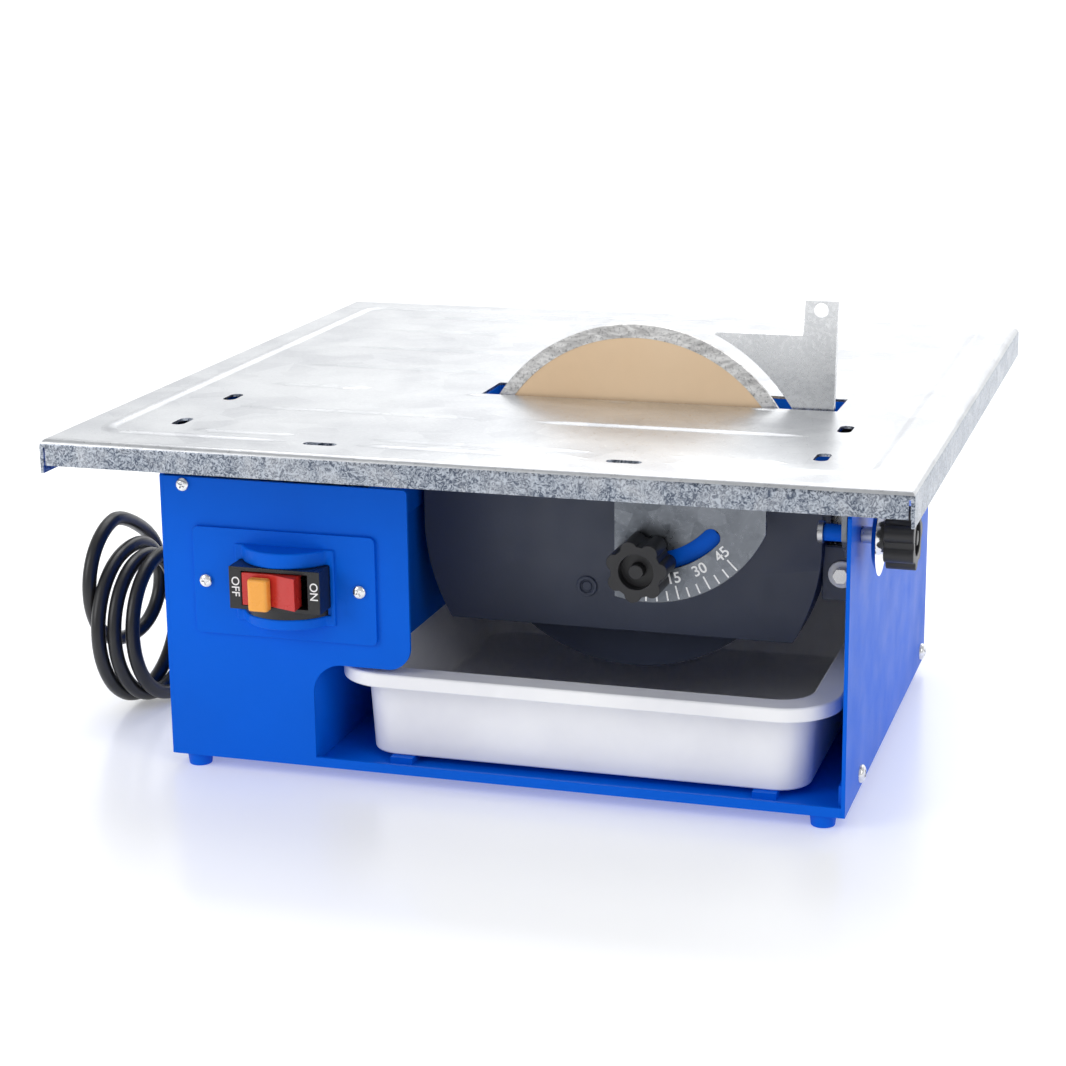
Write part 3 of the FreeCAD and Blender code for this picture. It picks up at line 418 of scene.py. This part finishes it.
PLUG_X, PLUG_Z = -232, 18.6
PLUG_START, PLUG_FACE = 24, 61.9
PIN_ASIDE = 9.5
plug_profile = [(0, 0), (7, 0), (9, 2), (10, 8), (14, 13), (17.2, 17), (18.3, 20), (18.4, 36),
                (17.6, 38), (0, 38)]
plug_mesh = mesh_from(lathe(plug_profile), "mains_plug", facing(BACKWARD, mm(PLUG_X, PLUG_START, PLUG_Z)))
plug = linked("mains_plug", plug_mesh, black, "case")
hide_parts("plug")
pin_profile = [(0, 0), (2.4, 0), (2.4, 17.5), (1.5, 19), (0, 19)]
for index, side in enumerate((-1, 1)):
    pin_place = facing(BACKWARD, mm(PLUG_X + side * PIN_ASIDE, PLUG_FACE, PLUG_Z))
    pin_mesh = mesh_from(lathe(pin_profile, 24), "plug_pin", pin_place)
    linked("plug_pin_%d" % (index + 1), pin_mesh, chrome, "case")


# --- CAD nodes with rounded edges --------------------------------------------------------
for node, material, width in (
        ("base_pan", blue, 0.5), ("left_wall", blue, 0.45), ("right_wall", blue, 0.45),
        ("rear_wall", blue, 0.45), ("front_panel", blue, 0.45), ("inner_partition", blue, 0.4),
        ("cross_rail", blue, 0.4), ("rubber_feet", blue, 0.5), ("slot_frame", blue, 0.3),
        ("switch_plate", blue, 0.5), ("switch_hood", blue, 1.0), ("switch_body", switch_black, 0.6),
        ("switch_rocker", red, 0.8), ("safety_key", orange, 1.0), ("guard_front", slate, 0.8),
        ("guard_rear", slate, 0.5), ("guard_bracket", iron, 0.5), ("guard_washer", white, 0.3),
        ("guard_bolt", steel, 0.3), ("clamp_sleeve", blue, 0.3), ("clamp_spacer", steel, 0.3),
        ("clamp_bolt_right", steel, 0.3), ("scale_plate", zinc_plate, 0.25), ("tilt_arm", blue, 0.3),
        ("clamp_knob_front", black, 0.9), ("clamp_knob_right", black, 0.9),
        ("riving_knife", knife_zinc, 0.25), ("water_tray", white, 0.9), ("table_top", zinc_top, 0.3),
        ("knife_mount", iron, 0.5)):
    soften(node, material, width)

# The upright faces of the table sheet are its aprons; they get the darker zinc, which is painted shade on
# the sheet's sides.
UPRIGHT_LIMIT = 0.4
apron_mesh = bpy.data.objects["table_top_soft"].data
apron_mesh.materials.append(apron_zinc_painted_shade)
for polygon in apron_mesh.polygons:
    polygon.material_index = 1 if abs(polygon.normal.z) < UPRIGHT_LIMIT else 0
for node, material in (
        ("rest_pads", black), ("hinge_pins", steel), ("arm_pivot", steel),
        ("clamp_bolt_front", steel), ("clamp_washer", chrome), ("ear_left", zinc_plate),
        ("ear_right", zinc_plate), ("blade_core", blade_face), ("blade_rim", rim_grit),
        ("flange_inner", steel), ("flange_outer", steel), ("arbor_nut", steel),
        ("motor_shaft", steel), ("motor_rotor", steel), ("cooling_fan", black),
        ("motor_housing", cast), ("motor_end_cover", cast), ("motor_stator", copper),
        ("motor_bearings", steel), ("motor_plate", iron), ("knife_bolts", steel),
        ("switch_pin", steel), ("capacitor", cast)):
    paint_node(node, material)


# --- screws ------------------------------------------------------------------------------
SCREW_SUNK = -0.4
SIDE_FACE = 178.05
SIDE_SCREW_Z = 15
SIDE_SCREW_RADIUS = 4.7
PANEL_SCREW_RADIUS = 3.6
PANEL_SCREWS = ((-153.3, -162.05, 103.6), (-69.4, -162.05, 103.6), (-165, -160.05, 153))


def pan_screw(name, at, direction, radius, spin):
    """Pan head with a cross recess, standing on the face at a point."""
    height = radius * 0.62
    profile = [(0, SCREW_SUNK), (radius, SCREW_SUNK), (radius, height * 0.35),
               (radius * 0.93, height * 0.62),
               (radius * 0.72, height * 0.86), (radius * 0.4, height * 0.98), (0, height)]
    obj = linked(name, mesh_from(lathe(profile, 40), name), screw_zinc, "case")
    tool_shape = bmesh.new()
    for turn in (0, 90):
        wing_turn = Matrix.Rotation(math.radians(turn + spin), 4, "Z")
        wing_size = Matrix.Diagonal((*mm(radius * 1.05, radius * 0.24, radius * 0.8), 1))
        wing_place = wing_turn @ Matrix.Translation(mm(0, 0, height))
        bmesh.ops.create_cube(tool_shape, size=1, matrix=wing_place @ wing_size)
    tool = bpy.data.objects.new(name + "_tool", mesh_from(tool_shape, name + "_tool"))
    bpy.context.collection.objects.link(tool)
    modifier = obj.modifiers.new("recess", "BOOLEAN")
    modifier.object = tool
    modifier.operation = "DIFFERENCE"
    modifier.solver = "EXACT"
    modifier.use_self = True
    graph = bpy.context.evaluated_depsgraph_get()
    finished = bpy.data.meshes.new_from_object(obj.evaluated_get(graph))
    obj.modifiers.clear()
    obj.data = finished
    smooth(finished, 40)
    bpy.data.objects.remove(tool)
    finished.transform(facing(direction, mm(*at)))
    return obj


for side in (-1, 1):
    for index, y in enumerate((-117, 92)):
        screw = pan_screw("side_screw_%d_%d" % (side + 2, index), (side * SIDE_FACE, y, SIDE_SCREW_Z),
                          (side, 0, 0), SIDE_SCREW_RADIUS, 15 + 40 * index)
        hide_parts("body_screws")
for index, place in enumerate(PANEL_SCREWS):
    screw = pan_screw("panel_screw_%d" % index, place, (0, -1, 0), PANEL_SCREW_RADIUS, 30 * index)
    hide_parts("switch_screws")


# --- pressed ribs of the table -----------------------------------------------------------
TABLE_TOP = 186.0
RIB_STEPS = 8
RIB_FADE_STEPS = 4
RIB_END_WIDTH = 0.35
RIB_GAP = 0.02
RIB_WIDTH = 9


def raised_strip(name, path, width, height):
    """A smooth pressed rib that follows a path of (x, y) points on the table and fades at its ends."""
    shape = bmesh.new()
    total = len(path)
    rows = []
    for index, (x, y) in enumerate(path):
        before = path[max(index - 1, 0)]
        after = path[min(index + 1, total - 1)]
        along = Vector((after[0] - before[0], after[1] - before[1])).normalized()
        aside = Vector((-along.y, along.x))
        from_end = min(index, total - 1 - index)
        fade = math.sin(min(1.0, from_end / RIB_FADE_STEPS) * math.pi / 2)
        row = []
        for step in range(RIB_STEPS + 1):
            part = step / RIB_STEPS
            lift = 0.5 - 0.5 * math.cos(2 * math.pi * part)
            offset = (part - 0.5) * width * (RIB_END_WIDTH + (1 - RIB_END_WIDTH) * fade)
            row.append(shape.verts.new(mm(x + aside.x * offset, y + aside.y * offset,
                                          TABLE_TOP + RIB_GAP + height * lift * fade)))
        rows.append(row)
    for low, high in zip(rows, rows[1:]):
        for step in range(RIB_STEPS):
            shape.faces.new((low[step], low[step + 1], high[step + 1], high[step]))
    bmesh.ops.recalc_face_normals(shape, faces=shape.faces)
    mesh = mesh_from(shape, name)
    if sum(polygon.normal.z for polygon in mesh.polygons) < 0:
        mesh.flip_normals()
    return linked(name, mesh, zinc_top, "table")


def straight(start, end, count=26):
    """Points along a straight line, both ends included."""
    return [(start[0] + (end[0] - start[0]) * index / count,
             start[1] + (end[1] - start[1]) * index / count) for index in range(count + 1)]


def round_field(half_x, half_y, radius, steps=7):
    """Rounded rectangle as points, from its right side round by the back and the left to the front."""
    points = []
    for sign_x, sign_y, first in ((1, 1, 0), (-1, 1, 90), (-1, -1, 180), (1, -1, 270)):
        for index in range(steps + 1):
            turn = math.radians(first + 90 * index / steps)
            points.append((sign_x * (half_x - radius) + radius * math.cos(turn),
                           sign_y * (half_y - radius) + radius * math.sin(turn)))
    return points


# The border rib stops on both sides of each front slot.
BORDER_HEIGHT = 1.1
FRONT_RUN = -189.5
border = round_field(194, -FRONT_RUN, 12)
front_turns = len(border) * 3 // 4
border_path = (straight((94, FRONT_RUN), (180, FRONT_RUN), 16) + border[front_turns:] + border[:front_turns]
               + straight((-180, FRONT_RUN), (-94, FRONT_RUN), 16))
raised_strip("border_rib", border_path, RIB_WIDTH, BORDER_HEIGHT)
raised_strip("border_rib_front", straight((-58, FRONT_RUN), (58, FRONT_RUN)), RIB_WIDTH, BORDER_HEIGHT)
RIBS = [((-158, -57), (-100, -57)), ((-150, -117), (-20, -117)), ((10, -117), (150, -117)),
        ((-150, -176), (-96, -176)), ((-56, -176), (56, -176)), ((96, -176), (150, -176)),
        ((-158, 0), (150, 0)), ((-158, 58), (150, 58)), ((-158, 116), (150, 116)),
        ((-158, 164), (150, 164))]
for index, (start, end) in enumerate(RIBS):
    raised_strip("rib_%d" % index, straight(start, end), RIB_WIDTH, 0.9)
for index, x in enumerate((-112, -39, 38, 114)):
    raised_strip("weld_mark_%d" % index, straight((x - 7, -61), (x + 7, -61), 10), 4.5, 0.7)

# --- marks on the tilt scale -------------------------------------------------------------
SCALE_AT = (73.3, 168.0)
SCALE_EDGE = 65.5
NUMBER_RADIUS = 54
MARK_Y = -139.62
MARK_THICK = 0.12


def flat_mark(shape, at, along, length, width):
    """Thin bar lying on the scale plate, its long side along a direction (x, z)."""
    turn = math.atan2(along[1], along[0])
    place = Matrix.Translation(mm(at[0], MARK_Y, at[1])) @ Matrix.Rotation(-turn, 4, "Y")
    size = Matrix.Diagonal((length * MM, MARK_THICK * MM, width * MM, 1))
    bmesh.ops.create_cube(shape, size=1, matrix=place @ size)


ticks = bmesh.new()
for step in range(10):
    degrees = 5 * step
    turn = math.radians(-90 + degrees)
    length = 7.0 if degrees % 15 == 0 else 5.0
    middle = SCALE_EDGE - 0.8 - length / 2
    out = (math.cos(turn), math.sin(turn))
    at = (SCALE_AT[0] + out[0] * middle, SCALE_AT[1] + out[1] * middle)
    flat_mark(ticks, at, out, length, 0.8)
linked("scale_ticks", mesh_from(ticks, "scale_ticks"), ink_white, "case")


def lettering(name, text, size, place, weight):
    """White raised letters on the case; weight thickens their strokes, in mm."""
    data = bpy.data.curves.new(name, "FONT")
    data.body = text
    data.size = size * MM
    data.align_x = "CENTER"
    data.align_y = "CENTER"
    data.extrude = 0.06 * MM
    data.offset = weight * MM
    holder = bpy.data.objects.new(name + "_holder", data)
    bpy.context.collection.objects.link(holder)
    graph = bpy.context.evaluated_depsgraph_get()
    graph.update()
    mesh = bpy.data.meshes.new_from_object(holder.evaluated_get(graph))
    bpy.data.objects.remove(holder)
    mesh.transform(place)
    return linked(name, mesh, ink_white, "case")


UPRIGHT = Matrix.Rotation(math.radians(90), 4, "X")
for degrees in (15, 30, 45):
    turn = math.radians(-90 + degrees)
    at = mm(SCALE_AT[0] + NUMBER_RADIUS * math.cos(turn), MARK_Y,
            SCALE_AT[1] + NUMBER_RADIUS * math.sin(turn))
    place = Matrix.Translation(at) @ Matrix.Rotation(math.radians(-degrees), 4, "Y") @ UPRIGHT
    lettering("number_%d" % degrees, str(degrees), 7.6, place, 0.12)

# --- lettering of the switch -------------------------------------------------------------
SWITCH_FACE = -177.08
SWITCH_Z = 106.2
for text, x in (("OFF", -130.6), ("ON", -88.3)):
    quarter_turn = Matrix.Rotation(math.radians(90), 4, "Y")
    place = Matrix.Translation(mm(x, SWITCH_FACE, SWITCH_Z)) @ quarter_turn @ UPRIGHT
    lettering("switch_" + text.lower(), text, 6.0, place, 0.05)

# --- stage -------------------------------------------------------------------------------
SWEEP_FRONT, SWEEP_BACK, SWEEP_RADIUS, SWEEP_TOP, SWEEP_HALF = -5.0, 2.6, 1.8, 5.0, 7.0
SWEEP_STEPS = 16
sweep = [(SWEEP_FRONT, 0.0)]
for step in range(SWEEP_STEPS + 1):
    turn = math.radians(90 * step / SWEEP_STEPS)
    sweep.append((SWEEP_BACK + SWEEP_RADIUS * math.sin(turn), SWEEP_RADIUS * (1 - math.cos(turn))))
sweep.append((SWEEP_BACK + SWEEP_RADIUS, SWEEP_TOP))
floor_shape = bmesh.new()
edges_of_sweep = [(floor_shape.verts.new((-SWEEP_HALF, y, z)), floor_shape.verts.new((SWEEP_HALF, y, z)))
                  for y, z in sweep]
for near, far in zip(edges_of_sweep, edges_of_sweep[1:]):
    floor_shape.faces.new((near[0], near[1], far[1], far[0]))
floor = bpy.data.objects.new("floor", mesh_from(floor_shape, "floor"))
bpy.context.collection.objects.link(floor)
floor_paint = Paint("studio_floor", (0.90, 0.905, 0.91), 0.22, Specular_IOR_Level=0.5,
                    Emission_Color=(1, 1, 1, 1), Emission_Strength=0.26)
floor_paint.rough(floor_paint.ramp(floor_paint.noise(3, 3), 0.3, 0.7, 0.20, 0.25))
floor.data.materials.append(floor_paint.material)


def area_light(name, at, target, size, power, size_y):
    data = bpy.data.lights.new(name, "AREA")
    data.shape = "RECTANGLE"
    data.size = size
    data.size_y = size_y
    data.energy = power
    lamp = bpy.data.objects.new(name, data)
    lamp.location = at
    lamp.rotation_euler = (Vector(target) - Vector(at)).to_track_quat("-Z", "Y").to_euler()
    bpy.context.collection.objects.link(lamp)


area_light("top_box", (-0.1, 0.5, 1.7), (0, 0, 0.1), 1.5, 9, 1.3)
area_light("front_left", (-1.6, -1.7, 1.1), (0, 0, 0.1), 1.1, 15, 1.3)
area_light("front_right", (1.7, -1.3, 1.2), (0, 0, 0.1), 0.9, 7, 1.2)
area_light("back_box", (0.2, 2.3, 1.5), (0, 0.2, 0.1), 2.4, 7, 1.0)
area_light("sweep_glow", (0.0, 1.6, 3.2), (0, 3.6, 0.8), 4.0, 60, 1.2)
world = bpy.data.worlds.new("studio")
world.use_nodes = True
world.node_tree.nodes["Background"].inputs["Color"].default_value = (0.95, 0.96, 0.98, 1)
world.node_tree.nodes["Background"].inputs["Strength"].default_value = 0.62
bpy.context.scene.world = world
bpy.context.scene.view_settings.view_transform = "Standard"
